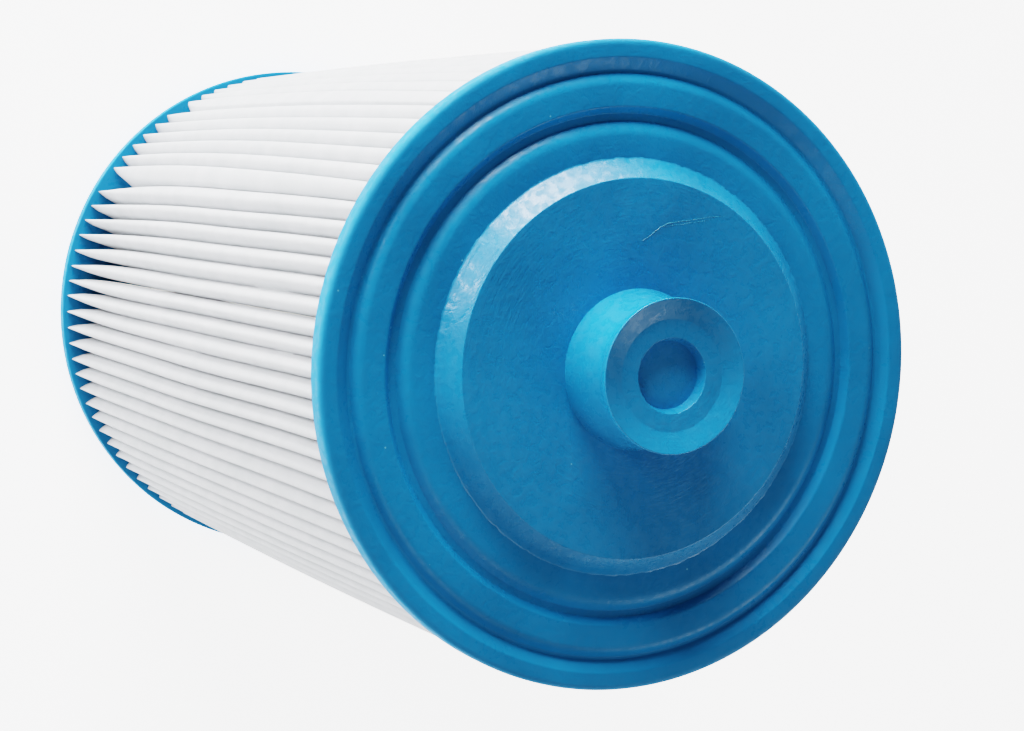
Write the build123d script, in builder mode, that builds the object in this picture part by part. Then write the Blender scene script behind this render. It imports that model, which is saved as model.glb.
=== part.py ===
"""Pool and spa filter cartridge, closed at the top with a pull knob, open at the foot.

Millimetres. +Z runs along the cartridge's axis, and the origin is at the centre of
the foot gasket's lower face, which is what the cartridge stands on.
"""
from build123d import *
from math import acos, atan2, degrees, pi
import os

os.makedirs("parts", exist_ok=True)

# Driving dimensions
CAP_R = 90.0            # outer radius of both end caps
RIM_Z = 286.0           # rim plane of the closed cap
SKIRT = 6.5             # height of the closed cap's outer skirt
POTTING = 2.5           # depth to which the media and the core plug sink into a cap
RIM_ROUND = 2.0         # rounded outer corner of the closed cap
GROOVE = 2.2            # depth of the moulded grooves
GASKET_STAND = 1.0      # how far the gasket stands out below the open cap
OPEN_CAP_T = 6.6        # thickness of the open cap
OPEN_ROUND = 3.3        # rounded lower corner of the open cap

PLEATS = 96
MEDIA_T = 0.8           # thickness of the spunbonded polyester
MEDIA_R = 88.8          # outermost point of a pleat
MEDIA_IN_R = 38.0       # innermost point of a pleat
TIP_R = 1.75            # fold radius at the outside, to the middle of the sheet
ROOT_R = 0.7            # fold radius at the core, to the middle of the sheet
SEAM_ANGLE = -88.0      # where the two ends of the pleated sheet are joined, in degrees
SEAM_W = 14.0
SEAM_T = 0.6

OUTLET_R = 31.75        # bore of the outlet collar
CORE_R = 37.0           # outer radius of the core tube
CORE_BORE_R = 34.0
SLIP = 0.1              # clearance of a spigot in its socket
SPIGOT_L = 8.0          # length of every spigot
WINDOWS_AROUND = 12
WINDOW_ROWS = 7

INSERT_R = 57.3         # foot of the raised centre that carries the knob
DISC_R = 52.2           # top of the raised centre
DISC_H = 6.1            # height of the raised centre above the rim plane
KNOB_H = 27.7           # tip of the knob above the rim plane

# Heights worked out from them
open_cap_z = GASKET_STAND
open_floor_z = GASKET_STAND + OPEN_CAP_T
closed_floor_z = RIM_Z - SKIRT
media_z0 = open_floor_z - POTTING
media_z1 = closed_floor_z + POTTING

# Outlet collar, between the gasket and the core
GASKET_T = 3.2
COLLAR_FLANGE_R = 41.0
COLLAR_FLANGE_T = 1.8
flange_top = GASKET_T + COLLAR_FLANGE_T
core_z0 = 11.0
PLUG_HOLLOW_R = 30.0
plug_top = closed_floor_z + POTTING
PLUG_FLANGE_T = 5.0
core_z1 = plug_top - PLUG_FLANGE_T


def revolved(points):
    """Turn a closed outline of (radius, height) points about the Z axis."""
    with BuildPart() as turned:
        with BuildSketch(Plane.XZ):
            with BuildLine():
                Polyline(*points, close=True)
            make_face()
        revolve(axis=Axis.Z)
    return turned.part


def rings_at(part, height, radii, reach=0.05):
    """The circular edges of a part at one height whose radius is in a list."""
    circles = part.edges().filter_by(GeomType.CIRCLE)
    level = [e for e in circles if abs(e.center(CenterOf.BOUNDING_BOX).Z - height) < reach]
    return [e for e in level if min(abs(e.radius - r) for r in radii) < reach]


# Closed end cap: cast polyurethane, with two moulded grooves between flat rings,
# and a seat in the middle for the knob insert
SEAT_DEPTH = 2.0
GROOVE_1 = (85.0, 81.6, 80.8, 78.7)     # radii: outer lip, floor, floor, inner lip
GROOVE_2 = (71.5, 69.8, 67.8, 65.2)
LIP_ROUND = 0.5
INNER_LIP_ROUND = 5.0   # broad rounding from a groove's inner wall to the next flat ring


def groove_points(radii, face_z, floor_z):
    """The four corners of one moulded groove, from its outer lip to its inner lip."""
    levels = (face_z, floor_z, floor_z, face_z)
    return list(zip(radii, levels))


with BuildPart() as closed_end_cap:
    add(revolved([
        (0, plug_top),
        (CORE_R, plug_top),
        (CORE_R, closed_floor_z),
        (CAP_R, closed_floor_z),
        (CAP_R, RIM_Z),
        *groove_points(GROOVE_1, RIM_Z, RIM_Z - GROOVE),
        *groove_points(GROOVE_2, RIM_Z, RIM_Z - GROOVE),
        (INSERT_R, RIM_Z),
        (INSERT_R, RIM_Z - SEAT_DEPTH),
        (0, RIM_Z - SEAT_DEPTH),
    ]))
    fillet(rings_at(closed_end_cap.part, RIM_Z, [CAP_R]), RIM_ROUND)
    fillet(rings_at(closed_end_cap.part, RIM_Z, [GROOVE_1[0], GROOVE_2[0]]), LIP_ROUND)
    fillet(rings_at(closed_end_cap.part, RIM_Z, [GROOVE_1[3], GROOVE_2[3]]), INNER_LIP_ROUND)
closed_end_cap.part.label = "closed_end_cap"
export_step(closed_end_cap.part, "parts/closed_end_cap.step")

# Knob insert: the raised disc and its spool-shaped pull knob, moulded in one piece
# and cast into the cap's seat
KNOB_BASE_R = 22.2
WAIST_R = 18.5
WAIST_AT = 0.72         # share of the knob's height where it is thinnest
LIP_R = 20.9
LIP_T = 1.7
DISH_R = 15.1
DISH_DEPTH = 1.9
RECESS_R = 10.1
RECESS_FLOOR_R = 9.2
RECESS_DEPTH = 3.2
WAIST_ROUND = 6.0
KNOB_FOOT_ROUND = 1.2
EDGE_ROUND = 0.6        # small rounding of a moulded or cut edge
disc_z = RIM_Z + DISC_H
tip_z = RIM_Z + KNOB_H
waist_z = disc_z + WAIST_AT * (tip_z - disc_z)
dish_z = tip_z - DISH_DEPTH
recess_z = dish_z - RECESS_DEPTH

with BuildPart() as knob_insert:
    add(revolved([
        (0, RIM_Z - SEAT_DEPTH),
        (INSERT_R, RIM_Z - SEAT_DEPTH),
        (INSERT_R, RIM_Z),
        (DISC_R, disc_z),
        (KNOB_BASE_R, disc_z),
        (WAIST_R, waist_z),
        (LIP_R, tip_z - LIP_T),
        (LIP_R, tip_z),
        (DISH_R, dish_z),
        (RECESS_R, dish_z),
        (RECESS_FLOOR_R, recess_z),
        (0, recess_z),
    ]))
    fillet(rings_at(knob_insert.part, waist_z, [WAIST_R]), WAIST_ROUND)
    fillet(rings_at(knob_insert.part, disc_z, [KNOB_BASE_R]), KNOB_FOOT_ROUND)
    fillet(rings_at(knob_insert.part, disc_z, [DISC_R]), EDGE_ROUND)
    fillet(rings_at(knob_insert.part, dish_z, [RECESS_R]), EDGE_ROUND)
knob_insert.part.label = "knob_insert"
export_step(knob_insert.part, "parts/knob_insert.step")

# Open end cap: cast polyurethane round the outlet collar, with a seat for the gasket
GASKET_R = 46.0
GASKET_BORE_R = 33.0
FOOT_GROOVE_1 = (82.0, 80.0, 77.0, 75.0)
FOOT_GROOVE_2 = (66.0, 64.0, 61.0, 59.0)

with BuildPart() as open_end_cap:
    add(revolved([
        (CORE_R, open_floor_z),
        (CAP_R, open_floor_z),
        (CAP_R, open_cap_z),
        *groove_points(FOOT_GROOVE_1, open_cap_z, open_cap_z + GROOVE),
        *groove_points(FOOT_GROOVE_2, open_cap_z, open_cap_z + GROOVE),
        (GASKET_R, open_cap_z),
        (GASKET_R, GASKET_T),
        (COLLAR_FLANGE_R, GASKET_T),
        (COLLAR_FLANGE_R, flange_top),
        (CORE_R, flange_top),
    ]))
    fillet(rings_at(open_end_cap.part, open_cap_z, [CAP_R]), OPEN_ROUND)
    foot_lips = [FOOT_GROOVE_1[0], FOOT_GROOVE_1[3], FOOT_GROOVE_2[0], FOOT_GROOVE_2[3]]
    fillet(rings_at(open_end_cap.part, open_cap_z, foot_lips), LIP_ROUND)
open_end_cap.part.label = "open_end_cap"
export_step(open_end_cap.part, "parts/open_end_cap.step")

# Foot gasket: flat rubber ring round the outlet, which seals on the housing's seat
with BuildPart() as foot_gasket:
    with BuildSketch():
        Circle(GASKET_R)
        Circle(GASKET_BORE_R, mode=Mode.SUBTRACT)
    extrude(amount=GASKET_T)
    fillet(rings_at(foot_gasket.part, 0, [GASKET_R, GASKET_BORE_R]), EDGE_ROUND)
foot_gasket.part.label = "foot_gasket"
export_step(foot_gasket.part, "parts/foot_gasket.step")

# Outlet collar: rigid ring that slides over the housing's standpipe and carries the
# core, its flange held between the gasket and the cap
with BuildPart() as outlet_collar:
    add(revolved([
        (OUTLET_R, GASKET_T),
        (COLLAR_FLANGE_R, GASKET_T),
        (COLLAR_FLANGE_R, flange_top),
        (CORE_R, flange_top),
        (CORE_R, core_z0),
        (CORE_BORE_R - SLIP, core_z0),
        (CORE_BORE_R - SLIP, core_z0 + SPIGOT_L),
        (OUTLET_R, core_z0 + SPIGOT_L),
    ]))
    fillet(rings_at(outlet_collar.part, core_z0 + SPIGOT_L, [CORE_BORE_R - SLIP]), EDGE_ROUND)
outlet_collar.part.label = "outlet_collar"
export_step(outlet_collar.part, "parts/outlet_collar.step")

# Core: perforated tube in moulded sections, each with a spigot at its top that slips
# into the next section's bore
SPIGOT_BORE_R = OUTLET_R
WINDOW_ROUND = 1.5
WINDOW_SHARE = 0.72     # share of the row pitch that a window is tall
RIB_SHARE = 0.42        # share of the tube's girth left as ribs between windows
LAND = 12.0             # plain tube at both ends of a section
LAND_TOP = 4.0
SECTION_NAMES = ["core_lower", "core_middle", "core_upper"]
section_l = (core_z1 - core_z0) / len(SECTION_NAMES)
window_pitch = (section_l - LAND - LAND_TOP) / WINDOW_ROWS
window_h = window_pitch * WINDOW_SHARE
window_w = 2 * pi * CORE_R / WINDOWS_AROUND * (1 - RIB_SHARE)

for number, name in enumerate(SECTION_NAMES):
    z0 = core_z0 + number * section_l
    z1 = z0 + section_l
    outline = [(CORE_BORE_R, z0), (CORE_R, z0), (CORE_R, z1)]
    if name == SECTION_NAMES[-1]:
        outline += [(CORE_BORE_R, z1)]
    else:
        outline += [
            (CORE_BORE_R - SLIP, z1),
            (CORE_BORE_R - SLIP, z1 + SPIGOT_L),
            (SPIGOT_BORE_R, z1 + SPIGOT_L),
            (SPIGOT_BORE_R, z1 - LAND_TOP),
            (CORE_BORE_R, z1 - LAND_TOP),
        ]
    first_row = z0 + LAND + window_pitch / 2
    middle = first_row + (WINDOW_ROWS - 1) / 2 * window_pitch
    with BuildPart() as core_section:
        add(revolved(outline))
        for turn in range(WINDOWS_AROUND // 2):
            across = Plane.XZ.rotated((0, 0, turn * 360 / WINDOWS_AROUND))
            with BuildSketch(across):
                with Locations((0, middle)):
                    with GridLocations(0, window_pitch, 1, WINDOW_ROWS):
                        RectangleRounded(window_w, window_h, WINDOW_ROUND)
            extrude(amount=CORE_R + 1, both=True, mode=Mode.SUBTRACT)
    core_section.part.label = name
    export_step(core_section.part, f"parts/{name}.step")

# Core plug: disc that closes the upper end of the core while the cap is cast over it
with BuildPart() as core_plug:
    add(revolved([
        (0, plug_top),
        (CORE_R, plug_top),
        (CORE_R, core_z1),
        (CORE_BORE_R - SLIP, core_z1),
        (CORE_BORE_R - SLIP, core_z1 - SPIGOT_L),
        (PLUG_HOLLOW_R, core_z1 - SPIGOT_L),
        (PLUG_HOLLOW_R, core_z1),
        (0, core_z1),
    ]))
core_plug.part.label = "core_plug"
export_step(core_plug.part, "parts/core_plug.step")

# Pleated media: one sheet of spunbonded polyester folded in and out all the way round,
# with both its ends potted in the caps. Each flank runs from the circle of an outer
# fold, the tip, across to the circle of an inner fold, the root.
half_pitch = 180 / PLEATS
tip = Vector(MEDIA_R - MEDIA_T / 2 - TIP_R, 0)
root = Vector(MEDIA_IN_R + MEDIA_T / 2 + ROOT_R, 0).rotate(Axis.Z, half_pitch)
span = root - tip
across_flank = degrees(atan2(span.Y, span.X) - acos((TIP_R + ROOT_R) / span.length))
half_t = MEDIA_T / 2

with BuildPart() as pleated_media:
    with BuildSketch(Plane.XY.offset(media_z0)):
        with BuildSketch(mode=Mode.PRIVATE) as pleat:
            with BuildLine():
                tip_out = CenterArc(tip, TIP_R + half_t, 0, across_flank)
                root_out = CenterArc(
                    root, ROOT_R - half_t, across_flank + 180, half_pitch - across_flank
                )
                flank_out = Line(tip_out @ 1, root_out @ 0)
                tip_in = CenterArc(tip, TIP_R - half_t, 0, across_flank)
                root_in = CenterArc(
                    root, ROOT_R + half_t, across_flank + 180, half_pitch - across_flank
                )
                Line(tip_in @ 1, root_in @ 0)
                Line(tip_out @ 0, tip_in @ 0)
                Line(root_out @ 1, root_in @ 1)
            make_face()
            mirror(about=Plane.XZ)
        with PolarLocations(0, PLEATS):
            add(pleat.sketch)
    extrude(amount=media_z1 - media_z0)
pleated_media.part.label = "pleated_media"
export_step(pleated_media.part, "parts/pleated_media.step")

# Media seam: bead of hot-melt glue down one flank, where the sheet's two ends meet
seam_turn = round(SEAM_ANGLE / (2 * half_pitch)) * 2 * half_pitch
down_flank = (flank_out % 0).rotate(Axis.Z, seam_turn)
seam_normal = down_flank.rotate(Axis.Z, -90)
seam_start = (flank_out @ 0).rotate(Axis.Z, seam_turn)

with BuildPart() as media_seam:
    with BuildSketch(Plane.XY.offset(open_floor_z)):
        with BuildLine():
            Polyline(
                seam_start,
                seam_start + down_flank * SEAM_W,
                seam_start + down_flank * SEAM_W + seam_normal * SEAM_T,
                seam_start + seam_normal * SEAM_T,
                close=True,
            )
        make_face()
    extrude(amount=closed_floor_z - open_floor_z)
media_seam.part.label = "media_seam"
export_step(media_seam.part, "parts/media_seam.step")
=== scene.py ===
from math import atan2, cos, pi, radians, sin, tan

import bmesh
import bpy
from mathutils import Matrix, Vector, noise


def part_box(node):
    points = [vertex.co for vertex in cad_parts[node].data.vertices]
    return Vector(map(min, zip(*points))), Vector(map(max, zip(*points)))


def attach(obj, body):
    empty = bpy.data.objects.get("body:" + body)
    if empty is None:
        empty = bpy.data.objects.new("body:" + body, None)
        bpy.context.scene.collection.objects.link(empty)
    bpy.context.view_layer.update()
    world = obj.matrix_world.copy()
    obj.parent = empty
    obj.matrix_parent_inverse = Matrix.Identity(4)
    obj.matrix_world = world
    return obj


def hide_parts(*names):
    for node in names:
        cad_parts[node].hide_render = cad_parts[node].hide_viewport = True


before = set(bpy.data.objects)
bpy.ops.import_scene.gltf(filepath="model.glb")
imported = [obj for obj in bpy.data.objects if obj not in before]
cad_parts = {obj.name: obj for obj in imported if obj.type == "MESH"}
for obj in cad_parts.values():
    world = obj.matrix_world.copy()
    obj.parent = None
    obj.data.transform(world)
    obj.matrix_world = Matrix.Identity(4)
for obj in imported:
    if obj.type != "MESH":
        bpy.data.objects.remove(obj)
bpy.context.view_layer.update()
mm = 0.001
scene = bpy.context.scene

# Camera: a short telephoto held above the closed cap and off to one side, looking down
# the cartridge at a slant, with the pull knob towards it.
cap_low, cap_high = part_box("closed_end_cap")
cap_r = cap_high.x
rim_z = cap_high.z
VIEW_TILT = radians(24.80)          # between the line of sight and the cartridge's axis
VIEW_ROLL = radians(101.05)
AIM_DEPTH = 0.861                   # aim point below the rim, in cap radii like the next two
AIM_SHIFT = 0.0616                  # aim point off the axis, towards the camera's lower edge
STANDOFF = 7.965                    # from the aim point to the camera
turn = Matrix.Rotation(VIEW_TILT, 3, "X") @ Matrix.Rotation(VIEW_ROLL, 3, "Z")
view_up = turn @ Vector((0, 1, 0))
view_back = turn @ Vector((0, 0, 1))
aim = Vector((0, 0, rim_z - AIM_DEPTH * cap_r)) - AIM_SHIFT * cap_r * view_up
camera = bpy.data.objects.new("camera", bpy.data.cameras.new("camera"))
scene.collection.objects.link(camera)
camera.matrix_world = Matrix.Translation(aim + STANDOFF * cap_r * view_back) @ turn.to_4x4()
camera.data.sensor_width = 36
camera.data.lens = 82.63
camera.data.clip_start = 0.05
scene.camera = camera

# Studio: a pale seamless floor, three soft window lights set low beyond the cap and to its
# left, two weak fills from nearer the camera, and a dim even surround.
scene.view_settings.view_transform = "Filmic"
scene.view_settings.look = "High Contrast"
scene.view_settings.exposure = 0.16
scene.world = bpy.data.worlds.new("surround")
scene.world.use_nodes = True
surround = scene.world.node_tree.nodes["Background"].inputs
surround["Color"].default_value = (0.9, 0.95, 1.0, 1)
surround["Strength"].default_value = 0.13
middle = Vector((0, 0, rim_z / 2))


def soft_light(name, azimuth, elevation, distance, width, height, watts):
    """A rectangular softbox that faces the cartridge, placed by its bearing from the axis."""
    level = distance * cos(radians(elevation))
    bearing = radians(azimuth)
    lift = distance * sin(radians(elevation))
    place = middle + Vector((level * cos(bearing), level * sin(bearing), lift))
    lamp = bpy.data.lights.new(name, "AREA")
    lamp.shape = "RECTANGLE"
    lamp.size = width
    lamp.size_y = height
    lamp.energy = watts
    box = bpy.data.objects.new(name, lamp)
    scene.collection.objects.link(box)
    box.location = place
    box.rotation_euler = (middle - place).to_track_quat("-Z", "Y").to_euler()


soft_light("far_window", 206, 15, 2.5, 1.2, 1.0, 95)
soft_light("far_strip", 182, 3, 2.6, 1.2, 0.5, 27)
soft_light("left_window", 248, 9, 2.5, 0.7, 0.9, 32)
soft_light("front_fill", 350, 40, 2.7, 1.8, 1.5, 13)
soft_light("right_fill", 60, 26, 2.9, 1.8, 1.6, 21)

bpy.ops.mesh.primitive_plane_add(size=12)
floor = bpy.context.object
floor.location.z = -0.1 * mm
floor.name = "floor"
paper = bpy.data.materials.new("pale_paper")
paper.use_nodes = True
paper_inputs = paper.node_tree.nodes["Principled BSDF"].inputs
paper_inputs["Base Color"].default_value = (0.92, 0.92, 0.92, 1)
paper_inputs["Roughness"].default_value = 0.9
paper_inputs["Emission Color"].default_value = (1, 1, 1, 1)
paper_inputs["Emission Strength"].default_value = 1.9
floor.data.materials.append(paper)

# Pleated media: one long sheet of white spunbonded polyester, folded in and out round
# the core. Its ends are pinched where they are potted in the foot cap, and further up
# the pleats swell until they touch.
foot_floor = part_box("open_end_cap")[1].z
head_floor = cap_low.z
media_low, media_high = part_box("pleated_media")
PLEATS = 96
STEPS = 16                          # columns of the sheet in one pleat
ROWS = 30
SEAM_ANGLE = radians(-88.0)         # where the sheet's two ends are glued together
TIP_R = 88.5
ROOT_R = 38.6
MEDIA_T = 0.55 * mm
FADED_OUT = 24.0                    # pleat at which the push of a parting has died away


class Recipe:
    """A node tree with short calls for sums, so that a rule can be written as it reads."""

    def __init__(self, tree):
        self.tree = tree

    def node(self, kind, **settings):
        made = self.tree.nodes.new(kind)
        for name, value in settings.items():
            setattr(made, name, value)
        return made

    def put(self, socket, value):
        if isinstance(value, bpy.types.NodeSocket):
            self.tree.links.new(value, socket)
        else:
            socket.default_value = value

    def sum(self, operation, a, b=0.0, c=0.0):
        made = self.node("ShaderNodeMath", operation=operation)
        for socket, value in zip(made.inputs, (a, b, c)):
            self.put(socket, value)
        return made.outputs[0]

    def add(self, a, b):
        return self.sum("ADD", a, b)

    def sub(self, a, b):
        return self.sum("SUBTRACT", a, b)

    def mul(self, a, b):
        return self.sum("MULTIPLY", a, b)

    def div(self, a, b):
        return self.sum("DIVIDE", a, b)

    def mix(self, share, a, b):
        """a where share is 0 and b where it is 1."""
        return self.sum("MULTIPLY_ADD", self.sub(b, a), share, a)

    def place(self):
        """Where a point lies on its object."""
        return self.node("ShaderNodeTexCoord").outputs["Object"]

    def stretched(self, vector, scale):
        made = self.node("ShaderNodeMapping")
        made.inputs["Scale"].default_value = scale
        self.put(made.inputs["Vector"], vector)
        return made.outputs[0]

    def cloud(self, vector, scale, detail=2.0, distortion=0.0):
        """Soft random patches, from 0 to 1."""
        made = self.node("ShaderNodeTexNoise")
        self.put(made.inputs["Vector"], vector)
        self.put(made.inputs["Scale"], scale)
        self.put(made.inputs["Detail"], detail)
        self.put(made.inputs["Distortion"], distortion)
        return made.outputs[0]

    def blend(self, value, *stops):
        """A colour that runs between two stops, each a position and a colour."""
        made = self.node("ShaderNodeValToRGB")
        for stop, (position, colour) in zip(made.color_ramp.elements, stops):
            stop.position = position
            stop.color = (*colour, 1)
        self.put(made.inputs[0], value)
        return made.outputs[0]

    def relief(self, shader, height, distance, strength=1.0):
        """Make a shader's surface rise and fall with a height."""
        made = self.node("ShaderNodeBump")
        self.put(made.inputs["Strength"], strength)
        self.put(made.inputs["Distance"], distance)
        self.put(made.inputs["Height"], height)
        self.put(shader["Normal"], made.outputs[0])


def pleating_tree():
    """The rule that folds a flat grid into the ring of pleats."""
    tree = bpy.data.node_groups.new("pleating", "GeometryNodeTree")
    r = Recipe(tree)
    face = tree.interface
    for name, kind in (
        ("Pleats", "Int"), ("Steps", "Int"), ("Rows", "Int"), ("Seed", "Int"),
        ("Tip radius", "Float"), ("Root radius", "Float"), ("Belly", "Float"),
        ("Foot", "Float"), ("Head", "Float"), ("Foot floor", "Float"),
        ("Head floor", "Float"), ("Crest", "Float"), ("Pinched", "Float"),
        ("Opening", "Float"), ("Wander", "Float"), ("Seam gap", "Float"),
        ("First parting", "Float"), ("Second parting", "Float"), ("Parting", "Float"),
        ("Material", "Material"),
    ):
        face.new_socket(name, in_out="INPUT", socket_type=f"NodeSocket{kind}")
    face.new_socket("Geometry", in_out="OUTPUT", socket_type="NodeSocketGeometry")
    given = r.node("NodeGroupInput").outputs
    asked = {s.name: s for s in given if s.name}

    grid = r.node("GeometryNodeMeshGrid")
    r.put(grid.inputs["Size X"], 1.0)
    r.put(grid.inputs["Size Y"], 1.0)
    columns = r.mul(asked["Pleats"], asked["Steps"])
    r.put(grid.inputs["Vertices X"], r.add(columns, 1))
    r.put(grid.inputs["Vertices Y"], asked["Rows"])

    place = r.node("ShaderNodeSeparateXYZ")
    r.put(place.inputs[0], r.node("GeometryNodeInputPosition").outputs[0])
    across = r.add(place.outputs["X"], 0.5)
    up = r.add(place.outputs["Y"], 0.5)
    column = r.sum("ROUND", r.mul(across, columns))
    pleat = r.sum("FLOOR", r.div(r.add(column, 0.001), asked["Steps"]))
    phase = r.sub(r.div(column, asked["Steps"]), pleat)
    side = r.sum("SIGN", r.sub(phase, 0.5001))
    rise = r.sub(1.0, r.sum("ABSOLUTE", r.sub(r.mul(phase, 2.0), 1.0)))

    # Rows lie closer together near both caps, where the sheet bends most.
    crowd = r.mul(r.sum("SINE", r.mul(up, 2 * pi)), 0.7 / (2 * pi))
    share = r.sub(up, crowd)
    height = r.mix(share, asked["Foot"], asked["Head"])
    above_foot = r.sum("MAXIMUM", r.sub(height, asked["Foot floor"]), 0.0)
    below_head = r.sum("MAXIMUM", r.sub(asked["Head floor"], height), 0.0)
    swell = r.sum("SINE", r.mul(share, pi))

    pitch = r.div(2 * pi, asked["Pleats"])

    def chance(number, seed):
        """A fixed random value from -1 to 1 that belongs to one pleat."""
        own = r.node("FunctionNodeRandomValue", data_type="FLOAT")
        floats = [s for s in own.inputs if s.type == "VALUE"]
        r.put(floats[0], -1.0)
        r.put(floats[1], 1.0)
        r.put(own.inputs["ID"], number)
        r.put(own.inputs["Seed"], seed)
        return [s for s in own.outputs if s.type == "VALUE"][0]

    def parted(number, place):
        """How far a pleat has been pushed back by a parting further round, which fades."""
        beyond = r.sum("LESS_THAN", number, place)
        fading = r.sum("MAXIMUM", r.div(r.sub(number, FADED_OUT), r.sub(place, FADED_OUT)), 0.0)
        return r.mul(beyond, fading)

    def tip_angle(number):
        """Angle of a pleat's crest: even spacing, set off by hand folding and by bowing."""
        wrapped = r.sum("FLOORED_MODULO", number, asked["Pleats"])
        random = chance(wrapped, asked["Seed"])
        partings = r.add(parted(wrapped, asked["First parting"]),
                         parted(wrapped, asked["Second parting"]))
        drift = r.node("ShaderNodeTexNoise", noise_dimensions="2D")
        where = r.node("ShaderNodeCombineXYZ")
        r.put(where.inputs["X"], r.mul(wrapped, 0.23))
        r.put(where.inputs["Y"], r.mul(share, 1.4))
        r.put(drift.inputs["Vector"], where.outputs[0])
        r.put(drift.inputs["Scale"], 1.0)
        r.put(drift.inputs["Detail"], 1.0)
        bowed = r.mul(r.sub(drift.outputs[0], 0.5), 3.2)
        off = r.mul(r.add(r.mul(random, 0.35), bowed), asked["Wander"])
        loose = r.sub(1.0, r.mul(share, share))
        off = r.sub(off, r.mul(r.mul(partings, loose), asked["Parting"]))
        return r.mul(r.add(r.add(number, 0.5), off), pitch)

    crest = tip_angle(pleat)
    neighbour = tip_angle(r.add(pleat, side))
    half_angle = r.mul(r.sum("ABSOLUTE", r.sub(neighbour, crest)), 0.5)
    root_angle = r.mul(r.add(pleat, 0.5), pitch)

    # Pleats by the seam were handled most, and stand open furthest above the foot cap.
    shifted = r.sum("FLOORED_MODULO", r.add(pleat, 3.0), asked["Pleats"])
    from_seam = r.sum("MINIMUM", shifted, r.sub(asked["Pleats"], shifted))
    handled = r.sum("EXPONENT", r.div(from_seam, -6.0))
    uneven = r.add(1.0, r.mul(chance(pleat, r.add(asked["Seed"], 1)), 0.22))
    reach = r.mul(r.mul(asked["Opening"], uneven), r.add(0.45, handled))
    closed = r.sum("EXPONENT", r.div(above_foot, r.mul(reach, -1.0)))

    tip_radius = r.add(asked["Tip radius"], r.mul(swell, asked["Belly"]))
    lean = r.mul(r.add(parted(pleat, asked["First parting"]),
                       parted(pleat, asked["Second parting"])), 0.40)
    depth_of_crest = r.mul(asked["Crest"], r.sub(1.0, lean))
    shoulder = r.sub(tip_radius, depth_of_crest)
    between = r.add(pleat, r.mul(r.add(side, 1.0), 0.5))
    at_seam = r.sum("LESS_THAN", r.sum("FLOORED_MODULO", between, asked["Pleats"]), 0.5)
    loosened = r.mul(r.mul(at_seam, asked["Seam gap"]), r.add(0.4, r.mul(share, 0.6)))
    full = r.mul(r.mul(half_angle, shoulder), r.sub(0.998, loosened))
    narrow_foot = r.mul(closed, r.sub(full, asked["Pinched"]))
    narrow_head = r.mul(r.sum("EXPONENT", r.div(below_head, -5 * mm)), r.mul(full, 0.3))
    half_width = r.sub(r.sub(full, narrow_foot), narrow_head)

    # Root fold up to a rise of 1/8, flank up to 1/2, crest fold beyond.
    root_half = r.mul(r.mul(pitch, 0.5), asked["Root radius"])
    first = r.sum("MINIMUM", r.mul(rise, 8.0), 1.0)
    flank = r.sum("MINIMUM", r.sum("MAXIMUM", r.mul(r.sub(rise, 0.125), 8 / 3), 0.0), 1.0)
    over = r.mul(r.sum("MAXIMUM", r.sub(rise, 0.5), 0.0), pi)
    root_width = r.sub(root_half, r.mul(first, r.mul(root_half, 0.5)))
    flank_width = r.mix(flank, root_width, half_width)
    slope = r.sub(1.0, r.div(over, pi / 2))
    width = r.mul(flank_width, r.mix(0.3, slope, r.sum("COSINE", over)))
    root_radius = r.add(asked["Root radius"], r.mul(first, 0.8 * mm))
    flank_radius = r.mix(flank, root_radius, shoulder)
    radius = r.add(flank_radius, r.mul(r.sum("SINE", over), depth_of_crest))
    depth = r.div(r.sub(radius, asked["Root radius"]), r.sub(tip_radius, asked["Root radius"]))
    centre = r.mix(depth, root_angle, crest)
    angle = r.add(centre, r.mul(side, r.div(width, radius)))
    angle = r.add(angle, SEAM_ANGLE)

    spot = r.node("ShaderNodeCombineXYZ")
    r.put(spot.inputs["X"], r.mul(radius, r.sum("COSINE", angle)))
    r.put(spot.inputs["Y"], r.mul(radius, r.sum("SINE", angle)))
    r.put(spot.inputs["Z"], height)
    folded = r.node("GeometryNodeSetPosition")
    r.put(folded.inputs["Geometry"], grid.outputs["Mesh"])
    r.put(folded.inputs["Position"], spot.outputs[0])
    joined = r.node("GeometryNodeMergeByDistance")
    r.put(joined.inputs["Geometry"], folded.outputs[0])
    r.put(joined.inputs["Distance"], 0.002 * mm)
    real = r.node("GeometryNodeRealizeInstances")
    r.put(real.inputs[0], joined.outputs[0])
    finished = r.node("GeometryNodeSetMaterial")
    r.put(finished.inputs["Geometry"], real.outputs[0])
    r.put(finished.inputs["Material"], asked["Material"])
    r.put(r.node("NodeGroupOutput").inputs[0], finished.outputs[0])
    return tree


def grown(name, tree, **sizes):
    """Run a geometry tree with its inputs set by name, and keep the result as a plain mesh."""
    host = bpy.data.objects.new(name, bpy.data.meshes.new(name + "_seed"))
    scene.collection.objects.link(host)
    modifier = host.modifiers.new("rule", "NODES")
    modifier.node_group = tree
    sockets = {s.name: s.identifier for s in tree.interface.items_tree if s.in_out == "INPUT"}
    for label, value in sizes.items():
        modifier[sockets[label.replace("_", " ")]] = value
    bpy.context.view_layer.update()
    evaluated = host.evaluated_get(bpy.context.evaluated_depsgraph_get())
    mesh = bpy.data.meshes.new_from_object(evaluated)
    host.modifiers.clear()
    host.data = mesh
    mesh.name = name
    return host


def principled(name, colour, roughness):
    """A new material, with its shader's inputs and a recipe for its tree."""
    made = bpy.data.materials.new(name)
    made.use_nodes = True
    inputs = made.node_tree.nodes["Principled BSDF"].inputs
    inputs["Base Color"].default_value = (*colour, 1)
    inputs["Roughness"].default_value = roughness
    return made, inputs, Recipe(made.node_tree)


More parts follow.
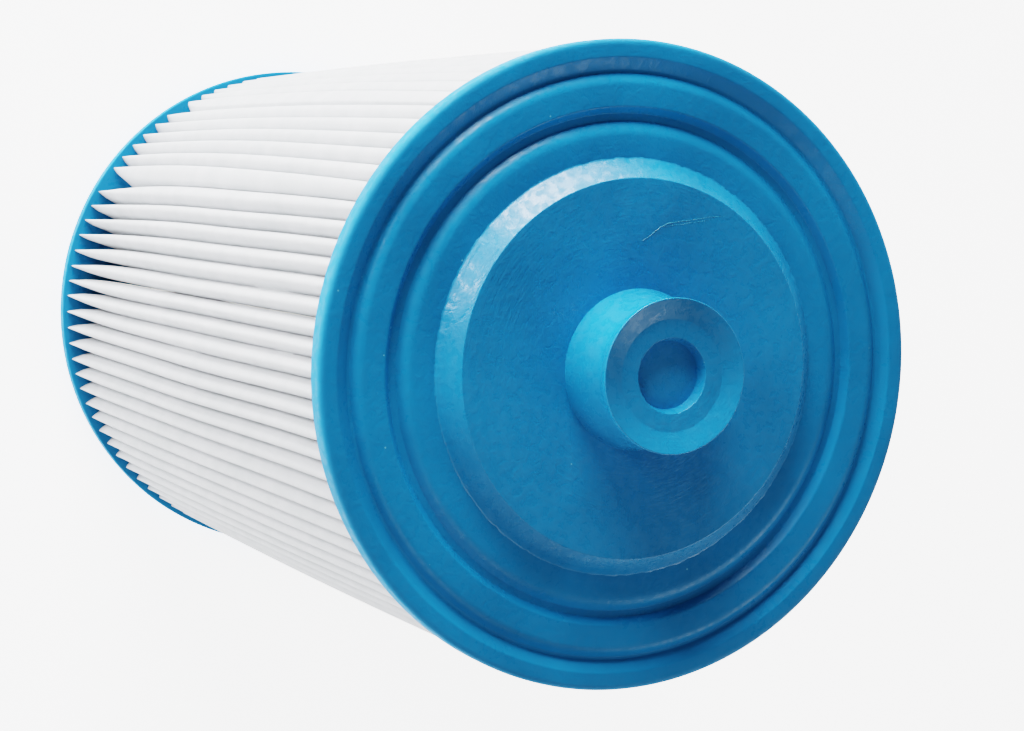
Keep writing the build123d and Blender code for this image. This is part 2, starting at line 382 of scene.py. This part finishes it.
spunbond, cloth, r = principled("spunbond_polyester", (0.86, 0.88, 0.9), 0.8)
cloth["Sheen Weight"].default_value = 0.15
cloth["Sheen Roughness"].default_value = 0.5
cloth["Specular IOR Level"].default_value = 0.25
fibres = r.cloud(r.stretched(r.place(), (1.0, 1.0, 0.35)), 2600.0, 4.0, 1.5)
clouds = r.cloud(r.place(), 90.0, 5.0)
r.put(cloth["Base Color"], r.blend(clouds, (0.3, (0.48, 0.50, 0.52)), (0.7, (0.55, 0.56, 0.585))))
r.relief(cloth, fibres, 0.15 * mm, 0.35)

media = grown(
    "pleated_sheet", pleating_tree(),
    Pleats=PLEATS, Steps=STEPS, Rows=ROWS, Seed=11,
    Tip_radius=TIP_R * mm, Root_radius=ROOT_R * mm, Belly=0.8 * mm,
    Foot=media_low.z, Head=media_high.z, Foot_floor=foot_floor, Head_floor=head_floor,
    Crest=3.6 * mm, Pinched=0.75 * mm, Opening=24 * mm, Wander=0.10, Seam_gap=0.05,
    First_parting=89.5, Second_parting=83.5, Parting=0.75, Material=spunbond,
)
media.data.shade_smooth()
wall = media.modifiers.new("thickness", "SOLIDIFY")
wall.thickness = MEDIA_T
wall.offset = -1
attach(media, "root")
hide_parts("pleated_media")

# Media seam: hot-melt glue squeezed flat down the flank of the first pleat, where the
# sheet's two ends were pressed together. It shows only as a thin line between two pleats.


def strip(work, loops):
    """Join rows of four corners into a thin closed strip."""
    for before, after in zip(loops, loops[1:]):
        for k in range(4):
            n = (k + 1) % 4
            work.faces.new((before[k], before[n], after[n], after[k]))
    work.faces.new(loops[0])
    work.faces.new(loops[-1][::-1])


def solid(name, work):
    """A named object from a finished bmesh, with its faces turned outward."""
    bmesh.ops.recalc_face_normals(work, faces=work.faces)
    mesh = bpy.data.meshes.new(name)
    work.to_mesh(mesh)
    work.free()
    made = bpy.data.objects.new(name, mesh)
    scene.collection.objects.link(made)
    return made


pitch = 2 * pi / PLEATS
rows = {}
for vertex in media.data.vertices:
    x, y, z = vertex.co
    reach = (x * x + y * y) ** 0.5
    round_from_seam = (atan2(y, x) - SEAM_ANGLE) % (2 * pi)
    on_flank = reach > 60 * mm and round_from_seam < pitch / 2
    if on_flank and foot_floor < z < head_floor:
        rows.setdefault(round(z, 6), []).append((reach, vertex.co.copy()))
bead = bmesh.new()
away = Vector((sin(SEAM_ANGLE), -cos(SEAM_ANGLE), 0)) * 0.15 * mm
loops = []
for z in sorted(rows):
    inner, outer = (co for reach, co in sorted(rows[z], key=lambda pair: pair[0])[:2])
    ragged = 0.06 * noise.noise(Vector((0, 0, z * 180)))
    top = outer.lerp(inner, 0.02 + ragged * 0.3)
    foot = outer.lerp(inner, 0.85 + ragged)
    loops.append([bead.verts.new(co) for co in (top, foot, foot + away, top + away)])
strip(bead, loops)
glue = solid("seam_bead", bead)
hot_melt, melt, r = principled("hot_melt_glue", (0.78, 0.76, 0.68), 0.3)
melt["Subsurface Weight"].default_value = 0.15
melt["Subsurface Scale"].default_value = 1 * mm
strings = r.cloud(r.place(), 240.0)
r.put(melt["Roughness"], r.add(r.mul(strings, 0.3), 0.15))
r.relief(melt, strings, 0.1 * mm)
glue.data.materials.append(hot_melt)
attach(glue, "root")
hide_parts("media_seam")

# Foot cap: blue polyurethane poured into an open mould round the ends of the pleats and
# the outlet collar. It is satin where it touched the mould and glossier where it did not.


def softened(corners, steps=5):
    """A profile whose (radius, height, rounding) corners, in millimetres, are soft curves."""
    points = []
    count = len(corners)
    for i, (radius, height, rounding) in enumerate(corners):
        here = Vector((radius, height)) * mm
        if rounding == 0:
            points.append(here)
            continue
        before = Vector(corners[i - 1][:2]) * mm - here
        after = Vector(corners[(i + 1) % count][:2]) * mm - here
        reach = rounding * mm / tan(before.angle(after) / 2)
        reach = min(reach, 0.49 * before.length, 0.49 * after.length)
        start = here + before.normalized() * reach
        end = here + after.normalized() * reach
        for k in range(steps + 1):
            t = k / steps
            points.append(start * (1 - t) ** 2 + here * 2 * t * (1 - t) + end * t * t)
    return points


def filled_in(points, longest):
    """The same profile with long stretches divided, so that the surface can undulate."""
    dense = []
    for here, after in zip(points, points[1:]):
        pieces = max(1, round((after - here).length / longest))
        dense += [here.lerp(after, k / pieces) for k in range(pieces)]
    return dense + [points[-1]]


def turned(name, profile, segments, unevenness=None):
    """A solid of revolution as a closed mesh: a profile from pole to pole, or a closed loop."""
    poles = profile[0].x < 1e-9
    rings = profile[1:-1] if poles else profile
    corners, faces = [], []
    for radius, height in rings:
        for k in range(segments):
            angle = 2 * pi * k / segments
            dr, dz = unevenness(radius, height, angle) if unevenness else (0, 0)
            spot = (radius + dr) * cos(angle), (radius + dr) * sin(angle), height + dz
            corners.append(spot)
    pairs = len(rings) - 1 if poles else len(rings)
    for i in range(pairs):
        j = (i + 1) % len(rings)
        for k in range(segments):
            n = (k + 1) % segments
            low_row, high_row = i * segments, j * segments
            faces.append((low_row + k, low_row + n, high_row + n, high_row + k))
    if poles:
        corners += [(0, 0, profile[0].y), (0, 0, profile[-1].y)]
        start, end, last = len(corners) - 2, len(corners) - 1, (len(rings) - 1) * segments
        for k in range(segments):
            n = (k + 1) % segments
            faces.append((start, n, k))
            faces.append((end, last + k, last + n))
    mesh = bpy.data.meshes.new(name)
    mesh.from_pydata(corners, [], faces)
    work = bmesh.new()
    work.from_mesh(mesh)
    bpy.data.meshes.remove(mesh)
    made = solid(name, work)
    made.data.shade_smooth()
    made.data.set_sharp_from_angle(angle=radians(38))
    return made


def poured(radius, height, angle):
    """The faint undulation of a face that shrank a little as it set."""
    spot = Vector((radius * cos(angle), radius * sin(angle), height)) * 70
    return 0, 0.05 * mm * noise.noise(spot)


def polyurethane(name, colour, gloss, ripple, wet_band):
    """Satin cast polyurethane: cloudy gloss, faint grain, dust and pits, and a wrinkled skin."""
    made, shader, r = principled(name, colour, 0.38)
    shader["Specular IOR Level"].default_value = gloss
    place = r.place()

    # Colour: soft clouds, with sparse pale dust; the pits picked out here only dent the relief below
    clouds = r.cloud(place, 28.0, 4.0, 0.6)
    tint = r.blend(clouds, (0.3, [c * 0.86 for c in colour]), (0.72, [c * 1.12 for c in colour]))
    grit = r.node("ShaderNodeTexVoronoi")
    r.put(grit.inputs["Vector"], place)
    r.put(grit.inputs["Scale"], 210.0)
    spot = r.sum("LESS_THAN", grit.outputs["Distance"], 0.055)
    chosen = r.node("ShaderNodeSeparateColor")
    r.put(chosen.inputs[0], grit.outputs["Color"])
    dusty = r.mul(spot, r.sum("GREATER_THAN", chosen.outputs[0], 0.90))
    pitted = r.mul(spot, r.sum("LESS_THAN", chosen.outputs[0], 0.06))
    dust = r.node("ShaderNodeMix", data_type="RGBA")
    shades = [x for x in dust.inputs if x.type == "RGBA"]
    r.put(dust.inputs[0], r.mul(dusty, 0.55))
    r.put(shades[0], tint)
    shades[1].default_value = (0.25, 0.62, 0.8, 1)
    mixed = [x for x in dust.outputs if x.type == "RGBA"][0]
    r.put(shader["Base Color"], mixed)

    axes = r.node("ShaderNodeSeparateXYZ")
    r.put(axes.inputs[0], place)
    x, y = axes.outputs["X"], axes.outputs["Y"]
    reach = r.sum("SQRT", r.add(r.mul(x, x), r.mul(y, y)))

    def ramp(value, low, high):
        """0 below the low value, 1 above the high one, and straight between."""
        scaled = r.node("ShaderNodeMapRange")
        r.put(scaled.inputs["Value"], value)
        scaled.inputs["From Min"].default_value = low
        scaled.inputs["From Max"].default_value = high
        return scaled.outputs[0]

    # Gloss: mottled where the release film dried, wet-looking in patches of one band, and
    # dull on the cap's outer edge, which is handled most
    film = r.mul(ramp(r.cloud(place, 420.0, 6.0, 0.4), 0.42, 0.60), 0.20)
    broad = r.mul(r.cloud(place, 30.0, 3.0), 0.22)
    in_band = ramp(r.sum("ABSOLUTE", r.sub(reach, wet_band)), 2.4 * mm, 0.8 * mm)
    wet = r.mul(in_band, ramp(r.cloud(place, 48.0), 0.5, 0.6))
    dull = r.mul(ramp(reach, 87.8 * mm, 89.6 * mm), 0.3)
    dry = r.add(r.add(film, broad), r.add(dull, 0.16))
    r.put(shader["Roughness"], r.sub(dry, r.mul(wet, 0.2)))

    # Relief: grain everywhere, pits, and wrinkles in the skin that run round the middle
    grain = r.mul(r.cloud(place, 1500.0, 3.0), 0.035)
    swell = r.mul(r.cloud(place, 420.0, 3.0, 0.8), 0.11)
    relief = r.sub(r.add(grain, swell), r.mul(pitted, 0.05))
    polar = r.node("ShaderNodeCombineXYZ")
    r.put(polar.inputs["X"], r.mul(reach, 1100.0))
    r.put(polar.inputs["Y"], r.mul(r.sum("ARCTAN2", y, x), 7.0))
    r.put(polar.inputs["Z"], r.mul(clouds, 4.0))
    lines = r.cloud(polar.outputs[0], 1.0, 2.0, 0.5)
    patches = ramp(r.cloud(place, 30.0), 0.36, 0.60)
    relief = r.add(relief, r.mul(r.mul(lines, patches), ripple))
    r.relief(shader, relief, 1 * mm)
    return made


CAP_BLUE = (0.016, 0.215, 0.47)
cap_plastic = polyurethane("cast_polyurethane", CAP_BLUE, gloss=0.25, ripple=0.03, wet_band=70.8 * mm)
foot_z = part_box("open_end_cap")[0].z / mm
foot_top = foot_floor / mm
gasket_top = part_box("foot_gasket")[1].z / mm
flange_top = 5.0
groove = 2.2
OUTLET_R = 31.75
CORE_R = 37
FLANGE_R = 41                       # the collar's flange, let into the foot cap
GASKET_R = 46
foot_profile = softened([
    (CORE_R, foot_top, 0), (cap_r / mm, foot_top, 0.6), (cap_r / mm, foot_z, 3.3),
    (82, foot_z, 0.5), (80, foot_z + groove, 0.5), (77, foot_z + groove, 0.5), (75, foot_z, 0.5),
    (66, foot_z, 0.5), (64, foot_z + groove, 0.5), (61, foot_z + groove, 0.5), (59, foot_z, 0.5),
    (GASKET_R, foot_z, 0.3), (GASKET_R, gasket_top, 0), (FLANGE_R, gasket_top, 0),
    (FLANGE_R, flange_top, 0), (CORE_R, flange_top, 0),
])
foot_cap = turned("foot_cap", filled_in(foot_profile + foot_profile[:1], 2.5 * mm)[:-1], 256, poured)
foot_cap.data.materials.append(cap_plastic)
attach(foot_cap, "root")
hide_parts("open_end_cap")

# Top cap: the same polyurethane, cast the other way up, so that its face took the mould's
# flat rings and the two grooves between them.
rim = rim_z / mm
head = head_floor / mm
seat = rim - 2.0
top_profile = softened([
    (0, head, 0), (cap_r / mm, head, 0.6), (cap_r / mm, rim, 1.9),
    (85.0, rim, 1.2), (81.6, rim - groove, 0.6), (80.8, rim - groove, 0.6), (78.7, rim, 4.5),
    (71.5, rim, 1.0), (69.8, rim - groove, 0.4), (67.8, rim - groove, 0.4), (65.2, rim, 4.5),
    (57.3, rim, 0), (57.3, seat, 0), (0, seat, 0),
], steps=6)
top_cap = turned("top_cap", filled_in(top_profile, 2.5 * mm), 384, poured)
top_cap.data.materials.append(cap_plastic)
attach(top_cap, "root")
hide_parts("closed_end_cap")

# Knob insert: moulded first, in a slightly wrinkled skin, and set into the top cap while
# that was liquid, which left a ragged line of flash round the foot of its cone.
FLASH = 0.45
tip_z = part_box("knob_insert")[1].z / mm
disc_z = rim + 6.1
dish_z = tip_z - 1.9
recess_z = dish_z - 3.2
knob_profile = softened([
    (0, seat + 0.02, 0), (57.26, seat + 0.02, 0), (57.26, rim + 0.03, 0), (57.7, rim + 0.03, 0),
    (57.35, rim + 0.22, 0.1), (52.2, disc_z, 0.45), (22.2, disc_z, 0), (18.5, disc_z + 15.6, 7.0),
    (20.9, tip_z - 1.7, 0.3), (20.9, tip_z, 0.3), (15.1, dish_z, 1.6), (10.1, dish_z, 0.3),
    (9.2, recess_z, 0), (0, recess_z, 0),
], steps=6)


def flashed(radius, height, angle):
    """Ragged flash at the foot of the cone, a nicked recess, and undulation elsewhere."""
    ragged = 0
    if radius > 56 * mm and height > rim_z:
        tooth = noise.noise(Vector((cos(angle), sin(angle), 0)) * 20)
        fine = noise.noise(Vector((cos(angle), sin(angle), 3)) * 55)
        ragged = max(0.0, 1 - (height - rim_z) / (0.6 * mm)) * FLASH * mm * (0.7 * tooth + 0.6 * fine)
    elif 9.6 * mm < radius < 10.8 * mm and height > recess_z * mm + 0.5 * mm:
        nick = noise.noise(Vector((cos(angle), sin(angle), 8)) * 6)
        ragged = 0.35 * mm * max(0.0, nick - 0.15)
    return ragged, poured(radius, height, angle)[1]


knob_plastic = polyurethane("knob_polyurethane", CAP_BLUE, gloss=0.5, ripple=0.13, wet_band=22.0 * mm)
knob = turned("pull_knob", filled_in(knob_profile, 2.5 * mm), 512, flashed)
knob.data.materials.append(knob_plastic)
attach(knob, "root")
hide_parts("knob_insert")

# Skin crease: a fold of half-set polyurethane skin, dragged across the disc as the mould was
# filled. It forks near the knob and runs out to the cone's edge, with one stray wisp beside it.
CREASES = (
    ((-34.5, -6.4), (-36.4, -4.3), (-38.3, -2.6), (-40.5, -0.2), (-42.7, 6.0), (-44.9, 12.5),
     (-46.3, 17.4)),
    ((-39.6, -0.6), (-41.2, 4.1), (-42.9, 9.1), (-44.7, 13.8)),
    ((-39.0, 15.0), (-39.2, 18.6)),
)
LINKS = 72                          # short lengths in one strand
crease = bmesh.new()
for strand, corners in enumerate(CREASES):
    path = [Vector(corner) for corner in corners]
    loops = []
    for i in range(LINKS + 1):
        t = i / LINKS * (len(path) - 1)
        k = min(int(t), len(path) - 2)
        along = (path[k + 1] - path[k]).normalized()
        side = Vector((-along.y, along.x))
        wobble = 0.22 * noise.noise(Vector((t * 2.3, strand, 1)))
        spot = (path[k].lerp(path[k + 1], t - k) + side * wobble) * mm
        full = max(0.25, sin(pi * (i + 4) / (LINKS + 8)) ** 0.5) / (1 + 0.5 * strand)
        full *= 0.85 + 0.4 * noise.noise(Vector((t * 3, 5, strand)))
        half, tall = 0.20 * mm * full, 0.07 * mm * full
        base = (disc_z - 0.08) * mm
        loops.append([
            crease.verts.new((*(spot + side * half), base)),
            crease.verts.new((*(spot + side * half * 0.3), disc_z * mm + tall)),
            crease.verts.new((*(spot - side * half * 0.3), disc_z * mm + tall)),
            crease.verts.new((*(spot - side * half), base)),
        ])
    strip(crease, loops)
fold = solid("skin_crease", crease)
fold.data.shade_smooth()
# The crease's paler blue is a painted highlight, standing in for the light caught along its thin
# ridge.
fold.data.materials.append(polyurethane("crease_painted_highlight", (0.06, 0.34, 0.56), 0.5, 0.0, 22.0 * mm))
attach(fold, "root")

# Foot gasket: black moulded rubber ring that seals on the housing's seat. It is let into
# the foot cap round the outlet, and its face carries fine mould lines and a dusty bloom.
rubber, skin, r = principled("moulded_rubber", (0.022, 0.023, 0.025), 0.6)
skin["Specular IOR Level"].default_value = 0.35
bloom = r.cloud(r.place(), 60.0, 6.0)
dusty = r.blend(bloom, (0.35, (0.018, 0.019, 0.021)), (0.75, (0.055, 0.056, 0.058)))
r.put(skin["Base Color"], dusty)
r.put(skin["Roughness"], r.add(r.mul(bloom, 0.3), 0.42))
turning = r.node("ShaderNodeTexWave", wave_type="RINGS", rings_direction="Z")
r.put(turning.inputs["Vector"], r.place())
r.put(turning.inputs["Scale"], 420.0)
r.put(turning.inputs["Distortion"], 0.6)
r.relief(skin, turning.outputs[0], 0.04 * mm, 0.4)
gasket_loop = softened([
    (33, 0, 0.6), (GASKET_R, 0, 0.6), (GASKET_R, gasket_top, 0), (33, gasket_top, 0),
])
gasket_loop = filled_in(gasket_loop + gasket_loop[:1], 2.5 * mm)[:-1]


def settled(radius, height, angle):
    """A gasket that has taken a slight set: its lower face dips by a hair here and there."""
    spot = Vector((radius * cos(angle), radius * sin(angle), 0.4)) * 55
    lift = 0.12 * mm * max(0.0, noise.noise(spot)) if height < 1 * mm else 0
    return 0, lift


gasket = turned("rubber_gasket", gasket_loop, 192, settled)
gasket.data.materials.append(rubber)
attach(gasket, "root")
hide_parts("foot_gasket")

# Core: perforated tube of injection-moulded white plastic in three sections, slipped one
# into the next, with a plug at its head and a collar at its foot. All share one faintly
# flowing, matt white plastic.
core_plastic, core_skin, r = principled("white_moulded_plastic", (0.78, 0.8, 0.82), 0.45)
core_skin["Subsurface Weight"].default_value = 0.05
core_skin["Subsurface Scale"].default_value = 2 * mm
flow = r.cloud(r.stretched(r.place(), (1.0, 1.0, 0.2)), 110.0, 4.0, 1.2)
shade = r.blend(flow, (0.0, (0.66, 0.69, 0.71)), (1.0, (0.82, 0.83, 0.84)))
r.put(core_skin["Base Color"], shade)
r.put(core_skin["Roughness"], r.add(r.mul(flow, 0.25), 0.3))
r.relief(core_skin, r.cloud(r.place(), 1400.0), 0.03 * mm, 0.5)
for node in ("core_lower", "core_middle", "core_upper", "core_plug"):
    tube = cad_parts[node]
    tube.data.materials.clear()
    tube.data.materials.append(core_plastic)
    tube.data.shade_smooth()
    tube.data.set_sharp_from_angle(angle=radians(30))

collar_low, collar_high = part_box("outlet_collar")
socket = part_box("core_lower")[0].z / mm
collar_loop = softened([
    (OUTLET_R, collar_low.z / mm, 0.4), (FLANGE_R, collar_low.z / mm, 0),
    (FLANGE_R, flange_top, 0), (CORE_R, flange_top, 0), (CORE_R, socket, 0),
    (33.9, socket, 0), (33.9, collar_high.z / mm, 0.6), (OUTLET_R, collar_high.z / mm, 0.4),
])
collar = turned("outlet_ring", filled_in(collar_loop + collar_loop[:1], 4 * mm)[:-1], 192)
collar.data.materials.append(core_plastic)
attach(collar, "root")
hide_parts("outlet_collar")
